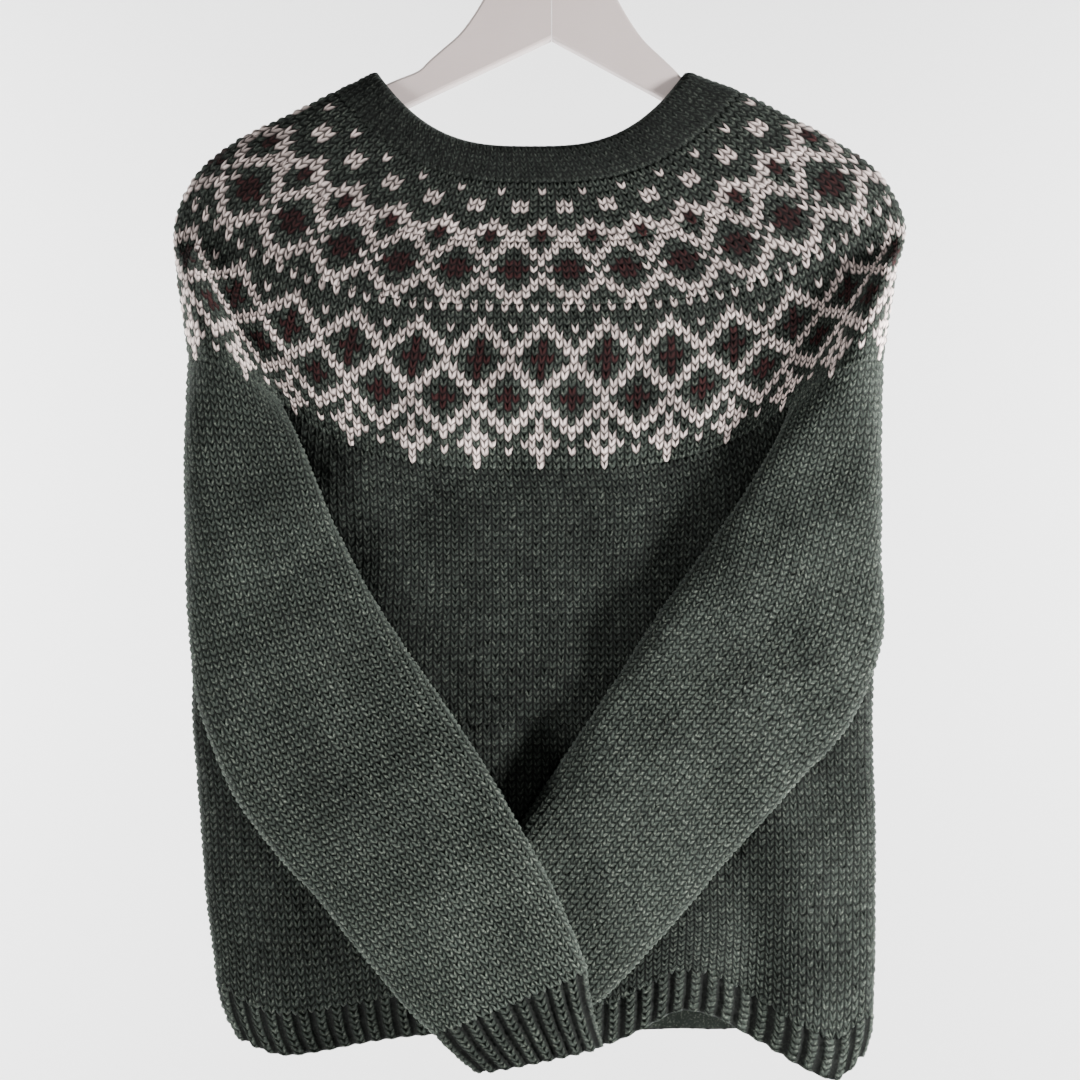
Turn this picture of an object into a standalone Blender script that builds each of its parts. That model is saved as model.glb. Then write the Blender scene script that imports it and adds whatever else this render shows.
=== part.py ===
# Snowflake sweater on a white wooden hanger, each cut piece a closed wall of its own.
# Metres, +Z up, the front faces -Y, and the origin is the inner top of the hook.
import math

import bmesh
import bpy
import numpy as np

# Cloth
wall = 0.003
seam = 0.0003
bridge_gap = 0.0010
rib_height = 0.0012
collar_puff = 0.0022
sheet_depth = 0.024
ridge_roundness = 3.0
side_roundness = 5.0
section_roundness = 3.2

# Points that carry each rib, and the ribs of a cuff; the hem has a rib for every third half column of the body
points_per_rib = 3
cuff_ribs = 18

# Columns of a half ring: front to crease, crease to outer fold, fold to rear crease, rear crease to back
front_columns = 24
swell_columns = 8
fold_columns = 5
back_columns = 29
bridge_columns = 10

# The sweater hangs this far to the viewer's left of the hook
cloth_shift = -0.0075

# Rings that cross the shoulder ridge, from the neck edge down; shift moves a ring sideways
ridge_ring_columns = ("front_z", "power", "ridge_x", "ridge_z", "depth", "shift")
ridge_ring_rows = (
    (-0.2028, 3.0, 0.1090, -0.1465, 0.0205, -0.0070),
    (-0.2150, 2.9, 0.1245, -0.1545, 0.0215, -0.0045),
    (-0.2270, 2.8, 0.1405, -0.1607, 0.0222, -0.0025),
    (-0.2515, 2.8, 0.1745, -0.1778, 0.0235, -0.0025),
    (-0.2760, 3.1, 0.2085, -0.1950, 0.0240, -0.0035),
    (-0.3050, 3.2, 0.2420, -0.2220, 0.0240, -0.0018),
    (-0.3347, 3.3, 0.2565, -0.2560, 0.0240, -0.0008),
)
collar_rings = 3
# How far each ring of the collar's roll stands out, as a share of its puff
collar_roll = (0.25, 1.0, 0.2)

# Rings that swell into the tops of the sleeves, down to the join
swell_ring_columns = ("front_z", "power", "crease_x", "crease_z", "outer_x", "outer_z", "rear_x", "rear_z",
                      "swell", "shift")
swell_ring_rows = (
    (-0.3657, 3.3, 0.2210, -0.3060, 0.2505, -0.2870, 0.2400, -0.3020, 0.0340, -0.0030),
    (-0.3967, 3.3, 0.2030, -0.3400, 0.2455, -0.3190, 0.2340, -0.3400, 0.0430, -0.0035),
    (-0.4250, 3.2, 0.1770, -0.3785, 0.2410, -0.3510, 0.2280, -0.3790, 0.0500, -0.0035),
)
# Shares of the way from the middle to a crease, and the swell between crease and outer fold: share of the
# way, share of the rise and share of the swell
flat_shares = (0.0, 0.15, 0.35, 0.55, 0.72, 0.87)
swell_shares = ((0.30, 0.50, 0.92), (0.62, 0.86, 1.0), (0.90, 1.0, 0.72))
crease_pull = 0.3
fold_share = 0.35
fold_middle_depth = 0.006
crease_depth = 0.0275
fold_depth = 0.012
rear_depth = 0.020
underarm_drop = 0.012
corner_drop = 0.003

# Body below the join: height at the front, half widths, where the front tucks back behind a sleeve
body_level_columns = ("z", "left", "right", "tuck_from", "tuck", "join_shape")
body_level_rows = (
    (-0.4550, 0.2385, 0.2340, 0.140, 0.0320, 0.75),
    (-0.4950, 0.2400, 0.2340, 0.125, 0.0170, 0.40),
    (-0.5450, 0.2430, 0.2340, 0.100, 0.0060, 0.10),
    (-0.6050, 0.2430, 0.2315, 0.100, 0.0000, 0.00),
    (-0.6600, 0.2388, 0.2330, 0.100, 0.0000, 0.00),
    (-0.7200, 0.2342, 0.2338, 0.100, 0.0000, 0.00),
)
hem_level_columns = ("above_edge", "left", "right")
hem_level_rows = (
    (0.031, 0.2262, 0.2318),
    (0.014, 0.2207, 0.2303),
    (0.000, 0.2127, 0.2257),
)
# A tucked front is full at this share of the half width
tuck_full = 1.04
hem_edge_columns = ("x", "z")
hem_edge_rows = (
    (-0.219, -0.816), (-0.204, -0.825), (-0.180, -0.832), (-0.150, -0.830),
    (-0.100, -0.821), (-0.040, -0.817), (0.000, -0.821), (0.042, -0.826),
    (0.070, -0.814), (0.096, -0.802), (0.120, -0.806), (0.150, -0.823),
    (0.185, -0.842), (0.206, -0.849), (0.222, -0.838),
)
back_hem_z = -0.826

# Soft flutes of the front above the hem: place, how far forward, width
flute_columns = ("x", "forward", "width")
flute_rows = (
    (-0.185, 0.004, 0.022),
    (-0.120, -0.005, 0.028),
    (-0.030, 0.002, 0.040),
    (0.095, 0.005, 0.026),
    (0.148, -0.006, 0.018),
    (0.200, 0.004, 0.020),
)
flute_top = -0.66
flute_full = -0.80

# Sleeve sections from the join down: inner and outer edge in front view, middle depth and half thickness at each
sleeve_columns = ("inner_x", "inner_z", "outer_x", "outer_z", "inner_y", "outer_y", "inner_half", "outer_half")
left_sleeve_rows = (
    (-0.1635, -0.4120, -0.2446, -0.4152, -0.0400, -0.0260, 0.0100, 0.0220),
    (-0.1400, -0.4693, -0.2434, -0.4829, -0.0400, -0.0300, 0.0120, 0.0190),
    (-0.1162, -0.5135, -0.2404, -0.5440, -0.0390, -0.0360, 0.0120, 0.0150),
    (-0.0923, -0.5507, -0.2314, -0.5948, -0.0400, -0.0390, 0.0120, 0.0130),
    (-0.0682, -0.5842, -0.2088, -0.6484, -0.0460, -0.0430, 0.0120, 0.0120),
    (-0.0410, -0.6239, -0.1787, -0.6878, -0.0560, -0.0500, 0.0120, 0.0120),
    (-0.0174, -0.6634, -0.1491, -0.7189, -0.0625, -0.0570, 0.0115, 0.0120),
    (0.0047, -0.7031, -0.1195, -0.7532, -0.0640, -0.0620, 0.0115, 0.0115),
    (0.0200, -0.7360, -0.0930, -0.7860, -0.0650, -0.0640, 0.0115, 0.0115),
    (0.0300, -0.7610, -0.0740, -0.8040, -0.0665, -0.0665, 0.0115, 0.0115),
)
left_cuff_rows = (
    (0.0300, -0.7610, -0.0740, -0.8040, -0.0665, -0.0665, 0.0110, 0.0110),
    (0.0330, -0.7840, -0.0590, -0.8180, -0.0670, -0.0670, 0.0115, 0.0115),
    (0.0408, -0.8142, -0.0421, -0.8303, -0.0670, -0.0670, 0.0115, 0.0115),
)
right_sleeve_rows = (
    (0.1600, -0.4090, 0.2335, -0.4151, -0.0400, -0.0260, 0.0100, 0.0220),
    (0.1330, -0.4540, 0.2328, -0.4829, -0.0385, -0.0300, 0.0120, 0.0190),
    (0.1080, -0.4890, 0.2330, -0.5443, -0.0375, -0.0350, 0.0120, 0.0150),
    (0.0812, -0.5252, 0.2107, -0.6002, -0.0375, -0.0370, 0.0120, 0.0125),
    (0.0539, -0.5682, 0.1664, -0.6500, -0.0375, -0.0375, 0.0120, 0.0120),
    (0.0266, -0.6091, 0.1323, -0.6889, -0.0375, -0.0375, 0.0120, 0.0120),
    (-0.0007, -0.6500, 0.1016, -0.7250, -0.0375, -0.0375, 0.0120, 0.0120),
    (-0.0246, -0.6875, 0.0709, -0.7591, -0.0380, -0.0380, 0.0120, 0.0120),
    (-0.0471, -0.7216, 0.0402, -0.7898, -0.0395, -0.0395, 0.0120, 0.0120),
)
right_cuff_rows = (
    (-0.0471, -0.7216, 0.0402, -0.7898, -0.0395, -0.0395, 0.0115, 0.0115),
    (-0.0560, -0.7420, 0.0200, -0.8010, -0.0400, -0.0400, 0.0115, 0.0115),
    (-0.0690, -0.7640, 0.0010, -0.8160, -0.0400, -0.0400, 0.0115, 0.0115),
)

# Hanger: the notch under its middle, the slope of its arms, how far they sink towards +X in each metre,
# and its neck as far as the shoulders
hanger_half_thickness = 0.006
hanger_notch_z = -0.1246
hanger_slope = 0.505
hanger_tilt = 0.036
hanger_reach = 0.211
hanger_seat = 0.0105
hanger_seat_start = 0.108
hanger_joint = 0.0003
hanger_bevel = 0.0018
neck_outline_columns = ("x", "z")
neck_outline_rows = (
    (0.0000, -0.0570), (0.0140, -0.0584), (0.0270, -0.0654), (0.0370, -0.0790), (0.0466, -0.0963),
    (0.0550, -0.1105), (0.0650, -0.1240), (0.0770, -0.1350), (0.0860, -0.1432), (0.0930, -0.1502),
)
# Round tip of an arm: how far inside its reach, and how far above its lower corner
tip_columns = ("inside", "above")
tip_rows = ((0.004, 0.002), (0.012, 0.006))
tip_top_inside = 0.002
tip_top_drop = 0.003
tip_round = 0.010

# Hook
hook_wire = 0.0019
hook_inner_radius = 0.020
hook_tip_angle = math.radians(205)
hook_turn_angle = math.radians(-38)
hook_bend = (0.0065, 0.0, -0.0425)
hook_stem_top = -0.049

# Colours: red, green, blue, roughness, metallic
finishes = {
    "wool_pattern": (0.22, 0.22, 0.20, 0.95, 0.0),
    "wool_green": (0.030, 0.042, 0.034, 0.95, 0.0),
    "white_wood": (0.78, 0.75, 0.71, 0.45, 0.0),
    "steel": (0.62, 0.62, 0.62, 0.30, 1.0),
}


def table(columns, rows):
    return [dict(zip(columns, row)) for row in rows]


def smooth_step(value):
    value = np.clip(value, 0.0, 1.0)
    return value * value * (3.0 - 2.0 * value)


def spline(points, per_span=12):
    """Smooth open curve through points, with tangents weighted by the chords beside them."""
    points = np.asarray(points, dtype=float)
    chord = np.sqrt(np.linalg.norm(np.diff(points, axis=0), axis=1))
    slope = np.diff(points, axis=0) / chord[:, None]
    tangent = np.empty_like(points)
    tangent[0], tangent[-1] = slope[0], slope[-1]
    weight = (chord[1:] / (chord[1:] + chord[:-1]))[:, None]
    tangent[1:-1] = slope[:-1] * weight + slope[1:] * (1.0 - weight)
    curve = []
    for span, step in enumerate(chord):
        t = np.linspace(0.0, 1.0, per_span, endpoint=False)[:, None]
        curve.append(points[span] * (2 * t**3 - 3 * t**2 + 1) + tangent[span] * step * (t**3 - 2 * t**2 + t)
                     + points[span + 1] * (3 * t**2 - 2 * t**3) + tangent[span + 1] * step * (t**3 - t**2))
    return np.vstack(curve + [points[-1:]])


def length_along(curve):
    return np.concatenate(([0.0], np.cumsum(np.linalg.norm(np.diff(curve, axis=0), axis=1))))


def resample(curve, fractions):
    """Points of a curve at fractions of its length."""
    along = length_along(curve)
    places = np.asarray(fractions) * along[-1]
    return np.column_stack([np.interp(places, along, curve[:, axis]) for axis in range(3)])


def ridge_half_ring(row):
    """Front centre to back centre over the shoulder, on the +X side."""
    turn = np.linspace(0.0, math.pi, 97)
    share = np.abs(np.sin(turn)) ** (2.0 / ridge_roundness)
    y = -row["depth"] * np.sign(np.cos(turn)) * np.abs(np.cos(turn)) ** (2.0 / ridge_roundness)
    z = row["front_z"] + (row["ridge_z"] - row["front_z"]) * share ** row["power"]
    return np.column_stack((row["ridge_x"] * share, y, z))


def swell_half_ring(row):
    """Front centre to back centre, with the front crease, the swell over the arm and the rear crease between."""
    points = []
    for share in flat_shares:
        z = row["front_z"] + (row["crease_z"] - row["front_z"]) * share ** row["power"]
        points.append((row["crease_x"] * share,
                       -sheet_depth - crease_pull * (crease_depth - sheet_depth) * share, z))
    crease = len(points)
    points.append((row["crease_x"], -crease_depth, row["crease_z"]))
    for share, rise, depth in swell_shares:
        x = row["crease_x"] + (row["outer_x"] - row["crease_x"]) * share
        z = row["crease_z"] + (row["outer_z"] - row["crease_z"]) * rise
        points.append((x, -row["swell"] * depth, z))
    outer = len(points)
    points.append((row["outer_x"], -fold_depth, row["outer_z"]))
    points.append((row["outer_x"] + (row["rear_x"] - row["outer_x"]) * fold_share, fold_middle_depth,
                   row["outer_z"] + (row["rear_z"] - row["outer_z"]) * fold_share))
    rear = len(points)
    points.append((row["rear_x"], rear_depth, row["rear_z"]))
    for share in flat_shares[::-1]:
        z = row["front_z"] + (row["rear_z"] - row["front_z"]) * share ** row["power"]
        points.append((row["rear_x"] * share, sheet_depth, z))
    per_span = 12
    return spline(points, per_span), [index * per_span for index in (crease, outer, rear)]


def mirrored(half):
    """A whole ring from its +X half: front, +X side, back, -X side."""
    other = half[-2:0:-1] * np.array((-1.0, 1.0, 1.0))
    return np.vstack((half, other))


def join_fractions():
    """Fractions of the half ring for its columns, which meet the creases of the join."""
    curve, marks = swell_half_ring(table(swell_ring_columns, swell_ring_rows)[-1])
    along = length_along(curve)
    crease, outer, rear = (along[mark] / along[-1] for mark in marks)
    return np.concatenate((np.linspace(0.0, crease, front_columns + 1),
                           np.linspace(crease, outer, swell_columns + 1)[1:],
                           np.linspace(outer, rear, fold_columns + 1)[1:],
                           np.linspace(rear, 1.0, back_columns + 1)[1:]))


def yoke_grid():
    """Rings from the neck edge down to the join."""
    fractions = join_fractions()
    ridge_rows = table(ridge_ring_columns, ridge_ring_rows)
    swell_rows = table(swell_ring_columns, swell_ring_rows)
    halves = [ridge_half_ring(row) for row in ridge_rows] + [swell_half_ring(row)[0] for row in swell_rows]
    grid = np.array([mirrored(resample(half, fractions)) for half in halves])
    grid[:, :, 0] += np.array([row["shift"] for row in ridge_rows + swell_rows])[:, None]
    return grid


def outward(grid):
    """Unit normals of a grid of rings that run front, +X, back, -X and follow each other down."""
    around = np.roll(grid, -1, axis=1) - np.roll(grid, 1, axis=1)
    normal = np.cross(np.gradient(grid, axis=0), around)
    return normal / np.linalg.norm(normal, axis=2, keepdims=True)


def level_normals(ring):
    """Level unit normals of a ring, shared by the two pieces that meet there."""
    around = np.roll(ring, -1, axis=0) - np.roll(ring, 1, axis=0)
    normal = np.column_stack((around[:, 1], -around[:, 0], np.zeros(len(ring))))
    return normal / np.linalg.norm(normal, axis=1, keepdims=True)


def lowered(grid):
    """The grid with its first ring below the join by a seam measured across the ring's slope."""
    moved = grid.copy()
    around = np.roll(grid[0], -1, axis=0) - np.roll(grid[0], 1, axis=0)
    level = np.linalg.norm(around[:, :2], axis=1)
    moved[0, :, 2] -= seam * np.linalg.norm(around, axis=1) / level
    return moved


def draw_back(grid, first, last):
    """The grid with its first and last ring drawn back by half a seam where asked."""
    moved = grid.copy()
    for wanted, end, neighbour in ((first, 0, 1), (last, -1, -2)):
        if wanted:
            step = grid[neighbour] - grid[end]
            moved[end] += step * (0.5 * seam / np.linalg.norm(step, axis=1, keepdims=True))
    return moved


def underarm(join, side):
    """Points from the front crease to the rear crease under an arm, on the join ring."""
    count = join.shape[0]
    rear_index = front_columns + swell_columns + fold_columns
    front = join[(side * front_columns) % count]
    rear = join[(side * rear_index) % count]
    share = np.linspace(0.0, 1.0, bridge_columns + 1)[1:-1, None]
    points = front + (rear - front) * share
    points[:, 2] -= underarm_drop * np.sin(math.pi * share[:, 0])
    return points


def flute_shift(x, z):
    fade = smooth_step((flute_top - z) / (flute_top - flute_full))
    shift = np.zeros_like(x)
    for row in table(flute_columns, flute_rows):
        shift -= row["forward"] * np.exp(-((x - row["x"]) / row["width"]) ** 2)
    return shift * fade


def hem_edge(x, y):
    """Height of the hem's edge: the photographed wave in front, level behind."""
    rows = np.array(hem_edge_rows)
    curve = spline(np.column_stack((rows[:, 0], np.zeros(len(rows)), rows[:, 1])))
    front = np.interp(x, curve[:, 0], curve[:, 2])
    behind = smooth_step((y + sheet_depth) / (2.0 * sheet_depth))
    return front + (back_hem_z - front) * behind


def body_half(width, side, tuck_from, tuck):
    """Plan of one half of a body ring, front centre to back centre, as x and y."""
    turn = np.linspace(0.0, math.pi, 121)
    share = np.abs(np.sin(turn)) ** (2.0 / side_roundness)
    bulge = np.sign(np.cos(turn)) * np.abs(np.cos(turn)) ** (2.0 / side_roundness)
    tucked = tuck * smooth_step((width * share - tuck_from) / (width * tuck_full - tuck_from)) if tuck else 0.0
    y = np.where(bulge > 0.0, -sheet_depth * bulge + tucked, tucked - (sheet_depth - tucked) * bulge)
    return np.column_stack((side * width * share, y, np.zeros_like(share)))


def whole_ring(right, left, fractions):
    right = resample(right, fractions)
    left = resample(left, fractions)
    return np.vstack((right, left[-2:0:-1]))


def body_fractions():
    """Fractions of the half ring for the body's columns: front, underarm bridge, back."""
    curve, marks = swell_half_ring(table(swell_ring_columns, swell_ring_rows)[-1])
    along = length_along(curve)
    bridge = np.linalg.norm(curve[marks[2]] - curve[marks[0]])
    lengths = np.array((along[marks[0]], bridge, along[-1] - along[marks[2]]))
    ends = np.concatenate(([0.0], np.cumsum(lengths))) / lengths.sum()
    fractions = np.concatenate([np.linspace(ends[part], ends[part + 1], count + 1)[1:]
                                for part, count in enumerate((front_columns, bridge_columns, back_columns))])
    return np.concatenate(([0.0], fractions))


def body_join_ring(join):
    """The join ring seen from the body: front, underarm bridge, back, underarm bridge."""
    rear_index = front_columns + swell_columns + fold_columns
    count = join.shape[0]
    half = count // 2
    right = underarm(join, 1)
    left = underarm(join, -1)[::-1]
    ring = np.vstack((join[:front_columns + 1], right, join[rear_index:half + (half - rear_index) + 1],
                      left, join[count - front_columns:]))
    rear_place = front_columns + bridge_columns
    inward = np.array((-bridge_gap / 2, bridge_gap / 2, -bridge_gap / 2))
    ring[front_columns:rear_place + 1] += inward
    ring[len(ring) - rear_place:len(ring) - front_columns + 1] += inward * np.array((-1.0, 1.0, 1.0))
    return ring


def body_ring(level, fractions, join_ring):
    ring = whole_ring(body_half(level["right"], 1, level["tuck_from"], level["tuck"]),
                      body_half(level["left"], -1, level["tuck_from"], level["tuck"]), fractions)
    ring[:, 2] = level["z"] + level["join_shape"] * (join_ring[:, 2] - join_ring[0, 2])
    ring[:, 1] += flute_shift(ring[:, 0], ring[:, 2])
    return ring


def hem_ring(level, fractions):
    ring = whole_ring(body_half(level["right"], 1, 0.0, 0.0), body_half(level["left"], -1, 0.0, 0.0), fractions)
    ring[:, 1] += flute_shift(ring[:, 0], np.full(len(ring), flute_full))
    ring[:, 2] = hem_edge(ring[:, 0], ring[:, 1]) + level["above_edge"]
    return ring


def body_grid(join):
    fractions = body_fractions()
    first = body_join_ring(join)
    levels = table(body_level_columns, body_level_rows)
    rings = [first] + [body_ring(level, fractions, first) for level in levels]
    rings.append(hem_ring(table(hem_level_columns, hem_level_rows)[0], fractions))
    return np.array(rings)


def halved(values):
    """A row of values with the middle of each step put in."""
    return np.interp(np.arange(2 * len(values) - 1) / 2.0, np.arange(len(values)), values)


def hem_grid():
    """Two columns for each column of the body, on the body's own edge at the top."""
    levels = table(hem_level_columns, hem_level_rows)
    top = hem_ring(levels[0], body_fractions())
    rings = [np.stack((top, (top + np.roll(top, -1, axis=0)) / 2.0), axis=1).reshape(-1, 3)]
    rings += [hem_ring(level, halved(body_fractions())) for level in levels[1:]]
    return np.array(rings)


def sleeve_section(row, turns, inset):
    """Points of one sleeve section at angles from its inner edge, over the front to its outer edge and back."""
    inner = np.array((row["inner_x"], 0.0, row["inner_z"]))
    outer = np.array((row["outer_x"], 0.0, row["outer_z"]))
    across = outer - inner
    width = np.linalg.norm(across)
    power = 2.0 / section_roundness
    along = np.sign(-np.cos(turns)) * np.abs(np.cos(turns)) ** power
    out = np.sign(np.sin(turns)) * np.abs(np.sin(turns)) ** power
    share = (along + 1.0) / 2.0
    half = row["inner_half"] + (row["outer_half"] - row["inner_half"]) * share - inset
    middle = row["inner_y"] + (row["outer_y"] - row["inner_y"]) * share
    points = (inner + outer) / 2.0 + np.outer(along * (width / 2.0 - inset), across / width)
    points[:, 1] = middle - half * out
    return points


def sleeve_turns():
    """Angles of the section's columns: the swell's columns in front, the fold's and the bridge's behind."""
    front = np.linspace(0.0, math.pi, swell_columns + 1)
    behind = np.linspace(math.pi, 2.0 * math.pi, fold_columns + bridge_columns + 1)
    return np.concatenate((front, behind[1:-1]))


def sleeve_join_ring(join, side):
    count = join.shape[0]
    rear_index = front_columns + swell_columns + fold_columns
    columns = [(side * index) % count for index in range(front_columns, rear_index + 1)]
    ring = np.vstack((join[columns], underarm(join, side)[::-1]))
    outward_shift = np.array((side * bridge_gap / 2, -bridge_gap / 2, 0.0))
    ring[0] += outward_shift
    ring[len(columns) - 1:] += outward_shift
    return ring


def sleeve_walls(join, join_normals, side, rows):
    """Outer and inner grid of a sleeve: the join ring, then a section for each row."""
    turns = sleeve_turns()
    stations = table(sleeve_columns, rows)
    first = sleeve_join_ring(join, side)
    outer = np.array([first] + [sleeve_section(row, turns, 0.0) for row in stations])
    inner = np.array([first] + [sleeve_section(row, turns, wall) for row in stations])
    normals = level_normals(first) * side
    count = join.shape[0]
    shared = swell_columns + fold_columns
    for place in range(1, shared):
        normals[place] = join_normals[(side * (front_columns + place)) % count]
    inner[0] = first - wall * normals
    inner[0][shared:, 2] -= corner_drop
    inner[0][0, 2] -= corner_drop
    return outer, inner


def even_turns(row, count):
    """Angles that space a section's points evenly."""
    turns = np.linspace(0.0, 2.0 * math.pi, 721)
    along = length_along(sleeve_section(row, turns, 0.0))
    return np.interp(np.linspace(0.0, along[-1], count, endpoint=False), along, turns)


def rib_wave(count):
    """Height of a ribbed edge at each of its points, one ridge for each rib."""
    return rib_height * (0.5 + 0.5 * np.cos(2.0 * math.pi * np.arange(count) / points_per_rib))


def material(name):
    red, green, blue, roughness, metallic = finishes[name]
    made = bpy.data.materials.get(name) or bpy.data.materials.new(name)
    made.use_nodes = True
    shader = made.node_tree.nodes["Principled BSDF"]
    shader.inputs["Base Color"].default_value = (red, green, blue, 1.0)
    shader.inputs["Roughness"].default_value = roughness
    shader.inputs["Metallic"].default_value = metallic
    return made


def add_object(name, data, finish):
    made = bpy.data.objects.new(name, data)
    data.materials.append(material(finish))
    bpy.context.scene.collection.objects.link(made)
    return made


def ring_faces(mesh, upper, lower):
    """Faces between two rings of vertices."""
    count = len(upper)
    for place in range(count):
        after = (place + 1) % count
        mesh.faces.new((upper[place], lower[place], lower[after], upper[after]))


def rim_faces(mesh, outer, inner, turned):
    """Triangles across a rim, split the same way on the two pieces that meet there."""
    count = len(outer)
    for place in range(count):
        after = (place + 1) % count
        if turned:
            mesh.faces.new((outer[place], inner[place], outer[after]))
            mesh.faces.new((inner[place], inner[after], outer[after]))
        else:
            mesh.faces.new((outer[place], inner[place], inner[after]))
            mesh.faces.new((outer[place], inner[after], outer[after]))


def add_wall(name, outer, inner, finish, turned=False):
    """A closed wall between an outer and an inner grid of rings, moved to its place on the hanger."""
    mesh = bmesh.new()
    place = np.array((cloth_shift, 0.0, 0.0))
    outer_rings = [[mesh.verts.new(point) for point in ring] for ring in outer + place]
    inner_rings = [[mesh.verts.new(point) for point in ring] for ring in inner + place]
    for upper, lower in zip(outer_rings, outer_rings[1:]):
        ring_faces(mesh, upper, lower)
    for upper, lower in zip(inner_rings, inner_rings[1:]):
        ring_faces(mesh, lower, upper)
    rim_faces(mesh, outer_rings[0], inner_rings[0], turned)
    rim_faces(mesh, outer_rings[-1], inner_rings[-1], turned)
    bmesh.ops.recalc_face_normals(mesh, faces=mesh.faces)
    data = bpy.data.meshes.new(name)
    mesh.to_mesh(data)
    mesh.free()
    return add_object(name, data, finish)


def add_collar(grid, normals):
    rings = draw_back(grid[:collar_rings], False, True)
    raised = collar_puff * np.array(collar_roll)
    outer = rings + normals[:collar_rings] * raised[:, None, None]
    inner = (rings - normals[:collar_rings] * wall)[[0, -1]]
    add_wall("collar_rib", outer, inner, "wool_green")


def add_yoke(grid, normals):
    rings = draw_back(grid[collar_rings - 1:], True, False)
    add_wall("yoke", rings, rings - normals[collar_rings - 1:] * wall, "wool_pattern")


def add_body(join, join_normals):
    grid = body_grid(join)
    normals = outward(grid)
    count = join.shape[0]
    rear_index = front_columns + swell_columns + fold_columns
    rear_place = front_columns + bridge_columns
    body_count = grid.shape[1]
    normals[0] = level_normals(grid[0])
    for place in range(front_columns):
        normals[0][place] = join_normals[place]
        normals[0][-place] = join_normals[-place]
    for place in range(1, back_columns + 1):
        normals[0][rear_place + place] = join_normals[rear_index + place]
        normals[0][body_count - rear_place - place] = join_normals[count - rear_index - place]
    normals[-1] = level_normals(grid[-1])
    rings = lowered(draw_back(grid, False, True))
    inner = rings - normals * wall
    inner[0][front_columns:rear_place + 1, 2] -= corner_drop
    inner[0][body_count - rear_place:body_count - front_columns + 1, 2] -= corner_drop
    add_wall("body", rings, inner, "wool_green")


def add_hem():
    grid = hem_grid()
    normals = outward(grid)
    normals[0] = level_normals(grid[0])
    rings = draw_back(grid, True, False)
    raised = rib_wave(grid.shape[1]) * np.array((0.0, 1.0, 0.8))[:, None]
    outer = rings + normals * raised[:, :, None]
    inner = (rings - normals * wall)[[0, -1]]
    add_wall("hem_rib", outer, inner, "wool_green")


def add_sleeve(name, join, join_normals, side, rows):
    outer, inner = sleeve_walls(join, join_normals, side, rows)
    outer = lowered(draw_back(outer, False, True))
    inner = lowered(draw_back(inner, False, True))
    add_wall(name, outer, inner, "wool_green", turned=side < 0)


def add_cuff(name, rows):
    stations = table(sleeve_columns, rows)
    wave = rib_wave(cuff_ribs * points_per_rib)
    turns = [even_turns(row, len(wave)) for row in stations]
    heights = (0.0, 1.0, 0.8)
    outer = np.array([sleeve_section(row, turn, -wave * height)
                      for row, turn, height in zip(stations, turns, heights)])
    inner = np.array([sleeve_section(row, turn, wall) for row, turn in zip(stations, turns)])
    add_wall(name, draw_back(outer, True, False), draw_back(inner, True, False)[[0, -1]], "wool_green")


def ridge_height(x):
    rows = table(ridge_ring_columns, ridge_ring_rows)
    return np.interp(x, [row["ridge_x"] for row in rows], [row["ridge_z"] for row in rows])


def hanger_outline():
    """One arm in front view: over its top from the middle to its tip, then back along its slope."""
    seat = np.linspace(hanger_seat_start, hanger_reach - tip_round, 6)
    route = [(x, 0.0, z) for x, z in neck_outline_rows]
    route += [(x, 0.0, ridge_height(x) - hanger_seat) for x in seat]
    top = [(x, z) for x, y, z in spline(route, 3)]
    tip_top = ridge_height(hanger_reach) - hanger_seat
    tip_low = hanger_notch_z - hanger_slope * hanger_reach
    tip = [(hanger_reach - tip_top_inside, tip_top - tip_top_drop), (hanger_reach, (tip_top + tip_low) / 2)]
    tip += [(hanger_reach - row["inside"], tip_low + row["above"]) for row in table(tip_columns, tip_rows)]
    return top + tip + [(0.0, hanger_notch_z)]


def add_hanger_arm(name, side):
    mesh = bmesh.new()
    outline = [(max(x, hanger_joint / 2), z) for x, z in hanger_outline()]
    front = [mesh.verts.new((side * x, -hanger_half_thickness, z - hanger_tilt * side * x)) for x, z in outline]
    face = mesh.faces.new(front)
    grown = bmesh.ops.extrude_face_region(mesh, geom=[face])
    moved = [item for item in grown["geom"] if isinstance(item, bmesh.types.BMVert)]
    bmesh.ops.translate(mesh, vec=(0.0, 2.0 * hanger_half_thickness, 0.0), verts=moved)
    bmesh.ops.recalc_face_normals(mesh, faces=mesh.faces)
    rims = [edge for edge in mesh.edges
            if abs(edge.verts[0].co.y - edge.verts[1].co.y) < 1e-6
            and max(abs(vert.co.x) for vert in edge.verts) > hanger_joint]
    bmesh.ops.bevel(mesh, geom=rims, offset=hanger_bevel, segments=2, affect="EDGES", profile=0.5)
    data = bpy.data.meshes.new(name)
    mesh.to_mesh(data)
    mesh.free()
    return add_object(name, data, "white_wood")


def hook_route():
    radius = hook_inner_radius + hook_wire
    centre = -hook_inner_radius
    arc = [(radius * math.cos(angle), 0.0, centre + radius * math.sin(angle))
           for angle in np.linspace(hook_tip_angle, hook_turn_angle, 20)]
    foot = neck_outline_rows[0][1] + seam
    return spline(arc + [hook_bend, (0.0, 0.0, hook_stem_top), (0.0, 0.0, foot)], 3)


def add_hook():
    curve = bpy.data.curves.new("hanger_hook", "CURVE")
    curve.dimensions = "3D"
    curve.bevel_depth = hook_wire
    curve.bevel_resolution = 2
    curve.use_fill_caps = True
    route = hook_route()
    line = curve.splines.new("POLY")
    line.points.add(len(route) - 1)
    for point, place in zip(line.points, route):
        point.co = (*place, 1.0)
    add_object("hanger_hook", curve, "steel")


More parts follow.
